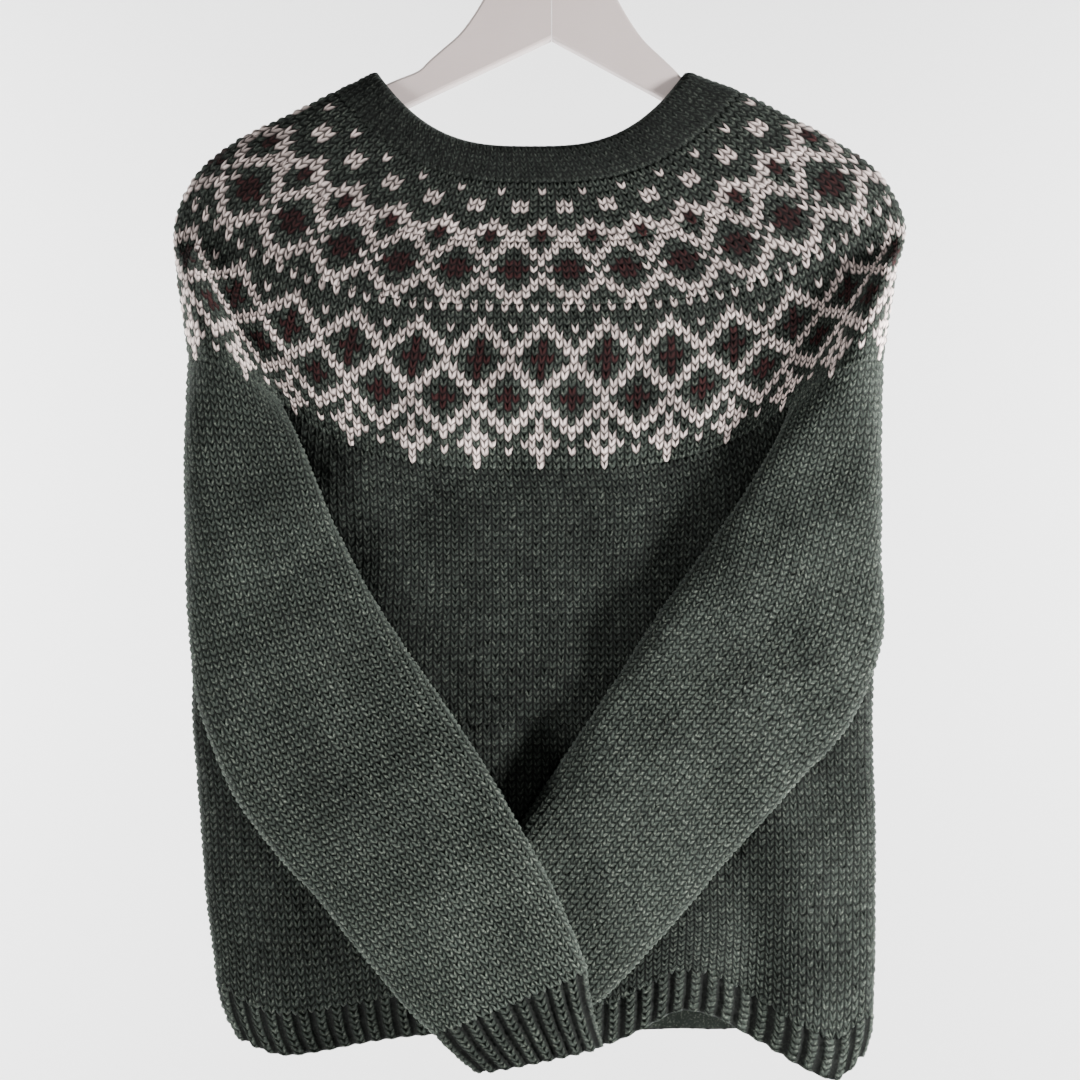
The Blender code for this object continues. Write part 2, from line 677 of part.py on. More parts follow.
def main():
    for made in list(bpy.data.objects):
        bpy.data.objects.remove(made, do_unlink=True)
    grid = yoke_grid()
    normals = outward(grid)
    normals[-1] = level_normals(grid[-1])
    add_collar(grid, normals)
    add_yoke(grid, normals)
    add_body(grid[-1], normals[-1])
    add_hem()
    add_sleeve("sleeve_left", grid[-1], normals[-1], -1, left_sleeve_rows)
    add_sleeve("sleeve_right", grid[-1], normals[-1], 1, right_sleeve_rows)
    add_cuff("cuff_left", left_cuff_rows)
    add_cuff("cuff_right", right_cuff_rows)
    add_hanger_arm("hanger_arm_left", -1)
    add_hanger_arm("hanger_arm_right", 1)
    add_hook()


main()
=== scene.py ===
import math

import bmesh
import bpy
import numpy as np
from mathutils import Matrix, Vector


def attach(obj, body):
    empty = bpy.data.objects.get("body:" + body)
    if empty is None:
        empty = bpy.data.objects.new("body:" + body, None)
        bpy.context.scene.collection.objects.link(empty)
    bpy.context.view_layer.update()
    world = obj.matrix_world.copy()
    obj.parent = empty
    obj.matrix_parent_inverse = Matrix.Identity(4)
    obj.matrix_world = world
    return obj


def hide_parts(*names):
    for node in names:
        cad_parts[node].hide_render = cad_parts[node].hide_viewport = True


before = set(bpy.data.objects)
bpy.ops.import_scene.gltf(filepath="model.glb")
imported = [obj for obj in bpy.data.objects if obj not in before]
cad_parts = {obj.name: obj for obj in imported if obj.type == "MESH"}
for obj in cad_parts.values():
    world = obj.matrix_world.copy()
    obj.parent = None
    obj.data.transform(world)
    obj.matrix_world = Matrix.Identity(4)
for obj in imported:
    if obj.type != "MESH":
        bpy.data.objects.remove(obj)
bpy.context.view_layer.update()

# What every knitted tube shares: cloth thickness and the form of one stitch, in metres or in rows
knit = {
    "wall": 0.003,
    "shift": -0.0075,      # the sweater hangs this far to the viewer's left of the hook
    "valley": 0.0008,      # valleys lie this far inside the frame's surface
    "relief": 0.0018,      # height of a stitch leg above the valleys
    "legFrom": 0.3,        # heights above this belong to a leg, and change down its row
    "slant": 0.80,         # rows that the middle of a stitch hangs below its edges
    "uneven": 0.22,        # how much the legs differ from each other
    "wander": 0.00022,     # how far a single stitch strays sideways
    "rowStray": 0.05,      # how far it strays down, in rows
    "wave": 0.00035,       # how far a hand-knit wale swings over many rows
    "innerStart": 0.4,     # rows from an edge to the first plain row inside
    "seed": 41,
}

# Stocking stitch across one stitch: edge, leg, middle, leg
stocking = {
    "heights": (0.16, 1.0, 0.42, 1.0),
    "slants": (0.0, 0.5, 1.0, 0.5),
    "sides": (0, -1, 0, 1),
}
# Rib across one knit column and the purl valley beside it
rib = {
    "heights": (0.10, 1.15, 0.65, 1.15, 0.10, -0.7),
    "slants": (0.0, 0.5, 1.0, 0.5, 0.0, 0.0),
    "sides": (0, -1, 0, 1, 0, 0),
}
# Down one row, line by line: height of a leg, and how far it leans outwards in stitch widths
leg = {
    "heights": (0.18, 0.86, 1.0),
    "leans": (0.10, 0.02, -0.09),
}
# How the wales swing: rows to a slow and a quick wave, how columns get out of step, turns round the tube
swing = {
    "slowRows": 7.3,
    "quickRows": 3.1,
    "outOfStep": 5.0,
    "stitchesInStep": 23.0,
    "turns": 3,
}

curveLines = 12      # points from one place to the next on a smooth curve
surfaceLines = 20    # lines from one ring to the next on a surface
ringPoints = 720     # points round a ring


def smoothStep(value):
    value = np.clip(value, 0.0, 1.0)
    return value * value * (3.0 - 2.0 * value)


def splineThrough(points, perSpan=curveLines):
    points = np.asarray(points, dtype=float)
    steps = np.diff(points, axis=0)
    chord = np.sqrt(np.linalg.norm(steps, axis=-1, keepdims=True))
    slope = steps / chord
    weight = chord[1:] / (chord[1:] + chord[:-1])
    tangent = np.concatenate((slope[:1], slope[:-1] * weight + slope[1:] * (1.0 - weight), slope[-1:]))
    t = np.linspace(0.0, 1.0, perSpan, endpoint=False).reshape((-1,) + (1,) * (points.ndim - 1))
    curve = []
    for span in range(len(chord)):
        curve.append(points[span] * (2 * t**3 - 3 * t**2 + 1)
                     + tangent[span] * chord[span] * (t**3 - 2 * t**2 + t)
                     + points[span + 1] * (3 * t**2 - 2 * t**3)
                     + tangent[span + 1] * chord[span] * (t**3 - t**2))
    return np.concatenate(curve + [points[-1:]])


def lengthAlong(curve):
    return np.concatenate(([0.0], np.cumsum(np.linalg.norm(np.diff(curve, axis=0), axis=1))))


def evenPoints(curve, count):
    along = lengthAlong(curve)
    places = np.linspace(0.0, along[-1], count, endpoint=False)
    return np.column_stack([np.interp(places, along, curve[:, axis]) for axis in range(3)])


# A ring is two open curves, out over one side and back over the other
def closedRing(outward, homeward):
    return np.vstack((evenPoints(outward, ringPoints // 2), evenPoints(homeward, ringPoints // 2)))


def mirrored(curve):
    return curve * np.array((-1.0, 1.0, 1.0))


drape = {
    # soft dents that front, back and sleeves share: along x and z in waves per metre, start, depth
    "dents": (
        (11.0, 6.0, 0.4, 0.0008),
        (-8.0, 13.0, 2.1, 0.0008),
        (5.0, -9.0, 4.0, 0.0010),
        (17.0, 3.0, 1.2, 0.0005),
    ),
    "dentTop": -0.27,
    "dentFade": 0.12,
    # folds low down on the right: across, how far forward, width
    "folds": (
        (0.168, 0.0050, 0.026),
        (0.100, -0.0035, 0.026),
    ),
    "foldTop": -0.60,
    "foldFade": 0.10,
}


def ridges(x, table):
    return sum(-forward * np.exp(-((x - place) / width) ** 2) for place, forward, width in table)


def drapeShift(points):
    x, z = points[..., 0], points[..., 2]
    dents = sum(depth * np.sin(2.0 * math.pi * (across * x + up * z) + start)
                for across, up, start, depth in drape["dents"])
    return (dents * smoothStep((drape["dentTop"] - z) / drape["dentFade"])
            + ridges(x, drape["folds"]) * smoothStep((drape["foldTop"] - z) / drape["foldFade"]))


# A smooth surface through rings from the top down, with its normals and the length down it
def surfaceThrough(rings):
    points = splineThrough(np.array(rings), surfaceLines) + (knit["shift"], 0.0, 0.0)
    points[..., 1] += drapeShift(points)
    around = np.roll(points, -1, axis=1) - np.roll(points, 1, axis=1)
    normals = np.cross(np.gradient(points, axis=0), around)
    normals /= np.linalg.norm(normals, axis=2, keepdims=True)
    middles = points.mean(axis=1, keepdims=True)
    if np.sum((points - middles) * normals) < 0.0:
        normals = -normals
    down = np.linalg.norm(np.diff(points, axis=0), axis=2).mean(axis=1)
    return {"points": points, "normals": normals, "down": np.concatenate(([0.0], np.cumsum(down)))}


def lookUp(field, rows, columns):
    rows = np.clip(rows, 0.0, len(field) - 1.0)
    upper = np.minimum(rows.astype(int), len(field) - 2)
    across = (columns % 1.0) * field.shape[1]
    left = across.astype(int) % field.shape[1]
    right = (left + 1) % field.shape[1]
    down = (rows - upper)[..., None]
    side = (across - across.astype(int))[..., None]
    return ((field[upper, left] * (1 - side) + field[upper, right] * side) * (1 - down)
            + (field[upper + 1, left] * (1 - side) + field[upper + 1, right] * side) * down)


# Yoke and collar rings
yokeShape = {
    # rings over the shoulder ridge: front height, how late they rise, ridge across, ridge height,
    # half depth, sideways shift
    "ridgeRings": (
        (-0.2028, 3.0, 0.1090, -0.1465, 0.0205, -0.0070),
        (-0.2150, 2.9, 0.1245, -0.1545, 0.0215, -0.0045),
        (-0.2270, 2.8, 0.1405, -0.1607, 0.0222, -0.0025),
        (-0.2515, 2.8, 0.1745, -0.1778, 0.0235, -0.0025),
        (-0.2760, 3.1, 0.2085, -0.1950, 0.0240, -0.0035),
        (-0.3050, 3.2, 0.2420, -0.2220, 0.0240, -0.0018),
        (-0.3347, 3.3, 0.2565, -0.2560, 0.0240, -0.0008),
    ),
    # rings that swell over the arms: front height, how late they rise, crease across and height,
    # outer fold across and height, rear crease across and height, swell, sideways shift
    "swellRings": (
        (-0.3657, 3.3, 0.2210, -0.3060, 0.2505, -0.2870, 0.2400, -0.3020, 0.0340, -0.0030),
        (-0.3967, 3.3, 0.2030, -0.3400, 0.2455, -0.3190, 0.2340, -0.3400, 0.0430, -0.0035),
        (-0.4250, 3.2, 0.1770, -0.3785, 0.2410, -0.3510, 0.2280, -0.3790, 0.0500, -0.0035),
    ),
    # from crease to outer fold: share of the way out, of the rise, of the swell
    "swellProfile": ((0.30, 0.50, 0.92), (0.62, 0.86, 1.0), (0.90, 1.0, 0.72)),
    "flatShares": (0.0, 0.15, 0.35, 0.55, 0.72, 0.87),
    "behindFold": (0.35, 0.006),   # share of the way to the rear crease, depth
    "creaseShare": 0.3,            # how much of the crease's depth the flat front takes on
    "collarSpans": 2,
    "ridgePoints": 97,
    "underarmPoints": 21,
    "roundness": 3.0,
    "clothDepth": 0.024,
    "creaseDepth": 0.0275,
    "foldDepth": 0.012,
    "rearDepth": 0.020,
    "underarmDrop": 0.012,
}


# Half of a rounded oblong: share of the way out, and depth from 1 in front to -1 behind
def roundedHalf(count, roundness):
    turn = np.linspace(0.0, math.pi, count)
    share = np.abs(np.sin(turn)) ** (2.0 / roundness)
    bulge = np.sign(np.cos(turn)) * np.abs(np.cos(turn)) ** (2.0 / roundness)
    return share, bulge


def ridgeHalf(ring):
    frontZ, power, ridgeX, ridgeZ, depth = ring[:5]
    share, bulge = roundedHalf(yokeShape["ridgePoints"], yokeShape["roundness"])
    return np.column_stack((ridgeX * share, -depth * bulge, frontZ + (ridgeZ - frontZ) * share ** power))


def swellHalf(ring):
    frontZ, power, creaseX, creaseZ, outerX, outerZ, rearX, rearZ, swell = ring[:9]
    flat, crease = yokeShape["clothDepth"], yokeShape["creaseDepth"]
    points = []
    for share in yokeShape["flatShares"]:
        points.append((creaseX * share, -flat - yokeShape["creaseShare"] * (crease - flat) * share,
                       frontZ + (creaseZ - frontZ) * share ** power))
    points.append((creaseX, -crease, creaseZ))
    for share, rise, depth in yokeShape["swellProfile"]:
        points.append((creaseX + (outerX - creaseX) * share, -swell * depth,
                       creaseZ + (outerZ - creaseZ) * rise))
    points.append((outerX, -yokeShape["foldDepth"], outerZ))
    behind, depth = yokeShape["behindFold"]
    points.append((outerX + (rearX - outerX) * behind, depth, outerZ + (rearZ - outerZ) * behind))
    points.append((rearX, yokeShape["rearDepth"], rearZ))
    for share in yokeShape["flatShares"][::-1]:
        points.append((rearX * share, flat, frontZ + (rearZ - frontZ) * share ** power))
    return splineThrough(points)


# Places on the join ring where the front crease, the outer fold and the rear crease lie
joinMarks = {"crease": 6 * curveLines, "fold": 10 * curveLines, "rear": 12 * curveLines}


def yokeRings():
    halves = [ridgeHalf(ring) for ring in yokeShape["ridgeRings"]]
    halves += [swellHalf(ring) for ring in yokeShape["swellRings"]]
    shifts = [ring[-1] for ring in yokeShape["ridgeRings"] + yokeShape["swellRings"]]
    return [closedRing(half, mirrored(half)[::-1]) + (shift, 0.0, 0.0) for half, shift in zip(halves, shifts)]


# Right and left halves of the join between yoke, body and sleeves, in front-to-back order
def joinHalves():
    last = yokeShape["swellRings"][-1]
    right = swellHalf(last)
    return right + (last[-1], 0.0, 0.0), mirrored(right) + (last[-1], 0.0, 0.0)


# Front crease to rear crease under one arm
def underarmCurve(join):
    share = np.linspace(0.0, 1.0, yokeShape["underarmPoints"])[:, None]
    start, end = join[joinMarks["crease"]], join[joinMarks["rear"]]
    curve = start + (end - start) * share
    curve[:, 2] -= yokeShape["underarmDrop"] * np.sin(math.pi * share[:, 0])
    return curve


# Body and hem rings
bodyShape = {
    # height, half widths left and right, where the front tucks back, by how much, share of the join's shape
    "levels": (
        (-0.4550, 0.2385, 0.2340, 0.140, 0.0320, 0.75),
        (-0.4950, 0.2400, 0.2340, 0.125, 0.0170, 0.40),
        (-0.5450, 0.2430, 0.2340, 0.100, 0.0060, 0.10),
        (-0.6050, 0.2430, 0.2315, 0.100, 0.0000, 0.00),
        (-0.6600, 0.2388, 0.2330, 0.100, 0.0000, 0.00),
        (-0.7200, 0.2342, 0.2338, 0.100, 0.0000, 0.00),
    ),
    # height above the edge, half widths left and right
    "hemLevels": (
        (0.031, 0.2262, 0.2318),
        (0.014, 0.2207, 0.2303),
        (0.000, 0.2127, 0.2257),
    ),
    # the hem's edge in front view: across, height
    "hemEdge": (
        (-0.219, -0.816), (-0.204, -0.825), (-0.180, -0.832), (-0.150, -0.830),
        (-0.100, -0.821), (-0.040, -0.817), (0.000, -0.821), (0.042, -0.826),
        (0.070, -0.814), (0.096, -0.802), (0.120, -0.806), (0.150, -0.823),
        (0.185, -0.842), (0.206, -0.849), (0.222, -0.838),
    ),
    "backHem": -0.826,
    # soft flutes above the hem: across, how far forward, width
    "flutes": (
        (-0.185, 0.004, 0.022),
        (-0.120, -0.005, 0.028),
        (-0.030, 0.002, 0.040),
        (0.095, 0.005, 0.026),
        (0.148, -0.006, 0.018),
        (0.200, 0.004, 0.020),
    ),
    "fluteTop": -0.66,
    "fluteFull": -0.80,
    "tuckReach": 1.04,
    "halfPoints": 121,
    "roundness": 5.0,
}


def fluteShift(x, z):
    fade = smoothStep((bodyShape["fluteTop"] - z) / (bodyShape["fluteTop"] - bodyShape["fluteFull"]))
    return ridges(x, bodyShape["flutes"]) * fade


def hemEdge(x, y):
    edge = np.array([(across, 0.0, height) for across, height in bodyShape["hemEdge"]])
    curve = splineThrough(edge)
    front = np.interp(x, curve[:, 0], curve[:, 2])
    depth = yokeShape["clothDepth"]
    behind = smoothStep((y + depth) / (2.0 * depth))
    return front + (bodyShape["backHem"] - front) * behind


def bodyHalf(width, side, tuckFrom=0.0, tuck=0.0):
    share, bulge = roundedHalf(bodyShape["halfPoints"], bodyShape["roundness"])
    tucked = tuck * smoothStep((width * share - tuckFrom) / (width * bodyShape["tuckReach"] - tuckFrom))
    depth = yokeShape["clothDepth"]
    y = np.where(bulge > 0.0, -depth * bulge + tucked, tucked - (depth - tucked) * bulge)
    return np.column_stack((side * width * share, y, np.zeros_like(share)))


def bodyJoinRing():
    halves = [np.vstack((join[:joinMarks["crease"]], underarmCurve(join), join[joinMarks["rear"] + 1:]))
              for join in joinHalves()]
    return closedRing(halves[0], halves[1][::-1])


def bodyRings():
    first = bodyJoinRing()
    rings = [first]
    for height, left, right, tuckFrom, tuck, joinShare in bodyShape["levels"]:
        ring = closedRing(bodyHalf(right, 1, tuckFrom, tuck), bodyHalf(left, -1, tuckFrom, tuck)[::-1])
        ring[:, 2] = height + joinShare * (first[:, 2] - first[0, 2])
        ring[:, 1] += fluteShift(ring[:, 0], ring[:, 2])
        rings.append(ring)
    return rings + hemRings()[:1]


def hemRings():
    rings = []
    for above, left, right in bodyShape["hemLevels"]:
        ring = closedRing(bodyHalf(right, 1), bodyHalf(left, -1)[::-1])
        ring[:, 1] += fluteShift(ring[:, 0], np.full(len(ring), bodyShape["fluteFull"]))
        ring[:, 2] = hemEdge(ring[:, 0], ring[:, 1]) + above
        rings.append(ring)
    return rings


# Sleeve and cuff rings: inner and outer edge in front view, middle depth and half thickness at each
sleeveShape = {
    "left": (
        (-0.1635, -0.4120, -0.2446, -0.4152, -0.0400, -0.0260, 0.0100, 0.0220),
        (-0.1400, -0.4693, -0.2434, -0.4829, -0.0400, -0.0300, 0.0120, 0.0190),
        (-0.1162, -0.5135, -0.2404, -0.5440, -0.0390, -0.0360, 0.0120, 0.0150),
        (-0.0923, -0.5507, -0.2314, -0.5948, -0.0400, -0.0390, 0.0120, 0.0130),
        (-0.0682, -0.5842, -0.2088, -0.6484, -0.0460, -0.0430, 0.0120, 0.0120),
        (-0.0410, -0.6239, -0.1787, -0.6878, -0.0560, -0.0500, 0.0120, 0.0120),
        (-0.0174, -0.6634, -0.1491, -0.7189, -0.0625, -0.0570, 0.0115, 0.0120),
        (0.0047, -0.7031, -0.1195, -0.7532, -0.0640, -0.0620, 0.0115, 0.0115),
        (0.0200, -0.7360, -0.0930, -0.7860, -0.0650, -0.0640, 0.0115, 0.0115),
        (0.0300, -0.7610, -0.0740, -0.8040, -0.0665, -0.0665, 0.0115, 0.0115),
    ),
    "right": (
        (0.1600, -0.4090, 0.2335, -0.4151, -0.0400, -0.0260, 0.0100, 0.0220),
        (0.1330, -0.4540, 0.2328, -0.4829, -0.0385, -0.0300, 0.0120, 0.0190),
        (0.1080, -0.4890, 0.2330, -0.5443, -0.0375, -0.0350, 0.0120, 0.0150),
        (0.0812, -0.5252, 0.2107, -0.6002, -0.0375, -0.0370, 0.0120, 0.0125),
        (0.0539, -0.5682, 0.1664, -0.6500, -0.0375, -0.0375, 0.0120, 0.0120),
        (0.0266, -0.6091, 0.1323, -0.6889, -0.0375, -0.0375, 0.0120, 0.0120),
        (-0.0007, -0.6500, 0.1016, -0.7250, -0.0375, -0.0375, 0.0120, 0.0120),
        (-0.0246, -0.6875, 0.0709, -0.7591, -0.0380, -0.0380, 0.0120, 0.0120),
        (-0.0471, -0.7216, 0.0402, -0.7898, -0.0395, -0.0395, 0.0120, 0.0120),
    ),
    "leftCuff": (
        (0.0300, -0.7610, -0.0740, -0.8040, -0.0665, -0.0665, 0.0110, 0.0110),
        (0.0330, -0.7840, -0.0590, -0.8180, -0.0670, -0.0670, 0.0115, 0.0115),
        (0.0408, -0.8142, -0.0421, -0.8303, -0.0670, -0.0670, 0.0115, 0.0115),
    ),
    "rightCuff": (
        (-0.0471, -0.7216, 0.0402, -0.7898, -0.0395, -0.0395, 0.0115, 0.0115),
        (-0.0560, -0.7420, 0.0200, -0.8010, -0.0400, -0.0400, 0.0115, 0.0115),
        (-0.0690, -0.7640, 0.0010, -0.8160, -0.0400, -0.0400, 0.0115, 0.0115),
    ),
    "halfPoints": 181,
    "roundness": 3.2,
}


# A section in two halves: over the front from the inner to the outer edge, and back behind
def sleeveSection(row):
    innerX, innerZ, outerX, outerZ, innerY, outerY, innerHalf, outerHalf = row
    inner, outer = np.array((innerX, 0.0, innerZ)), np.array((outerX, 0.0, outerZ))
    power = 2.0 / sleeveShape["roundness"]
    half = sleeveShape["halfPoints"]
    turns = np.linspace(0.0, 2.0 * math.pi, 2 * half - 1)
    along = np.sign(-np.cos(turns)) * np.abs(np.cos(turns)) ** power
    out = np.sign(np.sin(turns)) * np.abs(np.sin(turns)) ** power
    share = (along + 1.0) / 2.0
    points = (inner + outer) / 2.0 + np.outer(along / 2.0, outer - inner)
    points[:, 1] = innerY + (outerY - innerY) * share - (innerHalf + (outerHalf - innerHalf) * share) * out
    return closedRing(points[:half], points[half - 1:])


def sleeveRings(side):
    join = joinHalves()[("right", "left").index(side)]
    over = join[joinMarks["crease"]:joinMarks["fold"] + 1]
    under = np.vstack((join[joinMarks["fold"]:joinMarks["rear"]], underarmCurve(join)[::-1]))
    return [closedRing(over, under)] + [sleeveSection(row) for row in sleeveShape[side]]


# Columns keep their width from the middle of the front, and the spare ones meet on a line behind
def columnPlaces(surface, columns, width, anchor):
    places, shown = [], []
    for ring in surface["points"]:
        closed = np.vstack((ring, ring[:1]))
        along = lengthAlong(closed)
        share = np.linspace(0.0, 1.0, len(closed))
        around = (np.arange(columns + 1) / columns - 0.5) * columns * width
        half = 0.5 * along[-1]
        start = np.interp(anchor, share, along)
        wanted = np.clip(around, -half, half)
        places.append(np.interp((start + wanted) % along[-1], along, share))
        shown.append(np.clip((half - np.abs(around)) / (2.0 * width), 0.0, 1.0))
    return np.array(places), np.array(shown)


def chartTone(chart, row, stitch):
    if not chart:
        return "."
    line = chart[min(row, len(chart) - 1)]
    return line[stitch % len(line)]


toneMasks = {".": (0.0, 0.0), "o": (1.0, 0.0), "x": (0.0, 1.0)}


# How far the edge lines lie in: sunk under the piece above, over the piece below, or rounded where free
edgeSteps = {
    "underTop": (-0.0017, -0.0014, -0.0011, -0.0004),
    "freeTop": (-0.0012, -0.0003, 0.0),
    "overBottom": (-0.0002, -0.0008),
    "freeBottom": (0.0, -0.0003, -0.0012),
}


def edgeOffsets(plan, count):
    top, bottom = edgeSteps[plan["top"] + "Top"], edgeSteps[plan["bottom"] + "Bottom"]
    offsets = np.zeros(count)
    offsets[:len(top)] = top
    offsets[-len(bottom):] = bottom
    return offsets[:, None]


def swingOf(rows, stitch, plan):
    slow = np.sin(rows / swing["slowRows"] + swing["outOfStep"] * np.sin(stitch / swing["stitchesInStep"])
                  + plan["seed"])
    quick = np.sin(rows / swing["quickRows"] - stitch * 2.0 * math.pi * swing["turns"] / plan["stitches"])
    return slow + quick


# Past the surface's first and last ring the cloth runs straight on
def runOn(surface, points, along, around):
    rings, length = surface["points"], surface["down"][-1]
    for past, step in ((along - 1.0, rings[-1] - rings[-2]), (-along, rings[0] - rings[1])):
        spare = np.maximum(past, 0.0) * length
        if spare.max() > 0.0:
            direction = step / np.linalg.norm(step, axis=1, keepdims=True)
            ahead = lookUp(np.stack((direction, direction)), np.zeros_like(around), around)
            points = points + ahead * spare[..., None]
    return points


# Colour of each stitch: red for pale yarn, green for warm yarn, blue for how light it is, from a random tone
# plus the piece's painted light and shade
def yarnTones(chance, plan, rowOfLine, first, lines, perStitch):
    stitches = plan["stitches"]
    tones = chance.uniform(0.0, 1.0, (plan["rows"] + 2, stitches))
    # painted light and shade: the whole piece's tone is shifted lighter or darker, by a share that changes
    # from the top rows to the bottom rows
    fade = np.linspace(*plan.get("paintedShadingRows", (1.0, 1.0)), plan["rows"] + 2)
    tones = tones + plan.get("paintedShading", 0.0) * fade[:, None]
    masks = np.zeros((lines, stitches * perStitch, 4), dtype=np.float32)
    masks[...] = (0.0, 0.0, 0.5, 1.0)
    for line, row in enumerate(rowOfLine[:-1]):
        for place in range(stitches):
            yarn = chartTone(plan.get("chart"), max(row + first, 0), place + plan.get("turned", 0))
            cells = slice(place * perStitch, (place + 1) * perStitch)
            masks[line, cells, :3] = (*toneMasks[yarn], tones[row, place])
    return masks


# One knitted tube: stitch rows outside, a few plain rows inside, closed at both edges
def knitTube(mesh, surface, plan):
    chance = np.random.default_rng(knit["seed"] + plan["seed"])
    form = rib if plan["rib"] else stocking
    perStitch, perRow = len(form["heights"]), len(leg["heights"])
    stitches, rowCount = plan["stitches"], plan["rows"]
    columns = stitches * perStitch
    first = -1 if plan["top"] == "under" else 0
    outerRows = np.arange(first * perRow, rowCount * perRow + 1) / perRow
    innerRows = np.linspace(rowCount - knit["innerStart"], first + knit["innerStart"], plan["innerRows"])
    outer = slice(0, len(outerRows))
    column = np.arange(columns + 1) % columns
    stitch = column // perStitch
    height, slant, side = (np.array(form[key])[column % perStitch] for key in ("heights", "slants", "sides"))
    height = height * plan.get("depth", 1.0)
    line = np.arange(len(outerRows)) % perRow
    rowOfLine = np.clip(np.floor(outerRows + 1e-6).astype(int) - first, 0, rowCount + 1)

    # each leg's height and place, with chance in both
    wander = chance.normal(0.0, 1.0, (rowCount + 2, columns + 1))
    wander[:, -1] = wander[:, 0]
    loose = chance.uniform(1.0 - knit["uneven"], 1.0 + knit["uneven"], (rowCount + 2, stitches))
    grown = np.where(height > knit["legFrom"], height * np.array(leg["heights"])[line][:, None], height)
    relief = grown * loose[rowOfLine][:, stitch] * knit["relief"] - knit["valley"]
    bulge = np.sin(math.pi * np.clip((outerRows - first) / (rowCount - first), 0.0, 1.0))[:, None] ** 0.5
    relief = relief + edgeOffsets(plan, len(outerRows)) + plan.get("puff", 0.0) * bulge
    rows = outerRows[:, None] + slant * knit["slant"] + knit["rowStray"] * wander[rowOfLine]
    rows[0] = first
    if plan["bottom"] == "free":
        rows = np.minimum(rows, rowCount)
        rows[-1] = rowCount

    # rows and columns as places on the surface
    if plan.get("width"):
        places, shown = columnPlaces(surface, columns, plan["width"] / perStitch, plan["anchor"])
    else:
        places = np.broadcast_to(np.arange(columns + 1) / columns, (len(surface["down"]), columns + 1))
        shown = np.ones_like(places)
    rowField = np.concatenate((rows, np.broadcast_to(innerRows[:, None], (len(innerRows), columns + 1))))
    offset = np.concatenate((relief, np.full((len(innerRows), columns + 1), -knit["wall"])))
    start, end = plan.get("from", 0.0), plan.get("to", 1.0)
    along = start + (end - start) * rowField / rowCount
    level = np.interp(along * surface["down"][-1], surface["down"], np.arange(len(surface["down"])))
    upper = np.minimum(level.astype(int), len(places) - 2)
    down = level - upper
    index = np.broadcast_to(np.arange(columns + 1), level.shape)
    here, below = places[upper, index], places[upper + 1, index]
    around = np.where(np.abs(here - below) > 0.5, here, here * (1 - down) + below * down)

    # sideways each leg leans, strays and swings, but not where spare columns meet
    ringLength = np.linalg.norm(np.diff(surface["points"], axis=1), axis=2).sum(axis=1).mean()
    stray = wander[rowOfLine][:, column] * knit["wander"] / ringLength
    stitchWidth = plan.get("width", ringLength / stitches)
    stray += np.outer(np.array(leg["leans"])[line], side) * stitchWidth / ringLength
    stray += swingOf(outerRows[:, None], stitch[None, :], plan) * knit["wave"] / ringLength
    visible = shown[upper, index][outer]
    offset[outer] *= visible
    around[outer] += stray * visible
    normals = lookUp(surface["normals"], level, around)
    normals /= np.linalg.norm(normals, axis=2, keepdims=True)
    points = runOn(surface, lookUp(surface["points"], level, around), along, around)
    points = points + normals * offset[..., None]

    # the grid closes round the tube and from the inner wall back to the outer one
    points = np.concatenate((points, points[:1]))
    points[:, -1] = points[:, 0]
    built = bmesh.new()
    bmesh.ops.create_grid(built, x_segments=columns, y_segments=len(rowField), size=0.5)
    data = bpy.data.meshes.new("stitches")
    built.to_mesh(data)
    built.free()
    data.vertices.foreach_set("co", points.astype(np.float32).ravel())

    masks = yarnTones(chance, plan, rowOfLine, first, len(rowField), perStitch)
    yarn = data.color_attributes.new("yarnTone", "FLOAT_COLOR", "CORNER")
    yarn.data.foreach_set("color", np.repeat(masks.reshape(-1, 4), 4, axis=0).ravel())
    # each leg's height, which the wool turns into painted shade in the gaps between legs and a slight painted
    # highlight on their tops
    rise = np.zeros((*points.shape[:2], 4), dtype=np.float32)
    rise[..., 3] = 1.0
    rise[outer, :, 0] = np.clip(grown, 0.0, 1.0)
    rise[len(outerRows):-1, :, 0] = 0.5
    lift = data.color_attributes.new("yarnRise", "FLOAT_COLOR", "POINT")
    lift.data.foreach_set("color", rise.ravel())
    mesh.from_mesh(data)
    bpy.data.meshes.remove(data)


def knitPiece(name, surface, plans, material, cadNode):
    mesh = bmesh.new()
    for plan in plans:
        knitTube(mesh, surface, plan)
    bmesh.ops.remove_doubles(mesh, verts=mesh.verts, dist=1e-6)
    bmesh.ops.recalc_face_normals(mesh, faces=mesh.faces)
    for face in mesh.faces:
        face.smooth = True
    data = bpy.data.meshes.new(name)
    mesh.to_mesh(data)
    mesh.free()
    data.materials.append(material)
    piece = bpy.data.objects.new(name, data)
    bpy.context.scene.collection.objects.link(piece)
    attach(piece, "root")
    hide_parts(cadNode)
    print(name, "knitted,", len(data.polygons), "faces")


# Materials: wool in three dyes, painted wood and drawn wire
woolColours = {
    "green": (0.028, 0.035, 0.029),
    "fleck": (0.105, 0.118, 0.096),
    "pale": (0.74, 0.61, 0.57),
    "warm": (0.028, 0.0075, 0.0075),
}


def node(tree, kind, place, **values):
    made = tree.nodes.new(kind)
    made.location = (place[0] * 200, place[1] * 160)
    for key, value in values.items():
        setattr(made, key, value)
    return made


def noise(tree, vector, place, scale, detail=2.0):
    made = node(tree, "ShaderNodeTexNoise", place)
    made.inputs["Scale"].default_value = scale
    made.inputs["Detail"].default_value = detail
    tree.links.new(vector, made.inputs["Vector"])
    return made


def mapRange(tree, source, place, toSpan, fromSpan=(0.0, 1.0), **values):
    made = node(tree, "ShaderNodeMapRange", place, **values)
    for name, value in zip(("From Min", "From Max", "To Min", "To Max"), fromSpan + toSpan):
        made.inputs[name].default_value = value
    tree.links.new(source, made.inputs["Value"])
    return made.outputs["Result"]


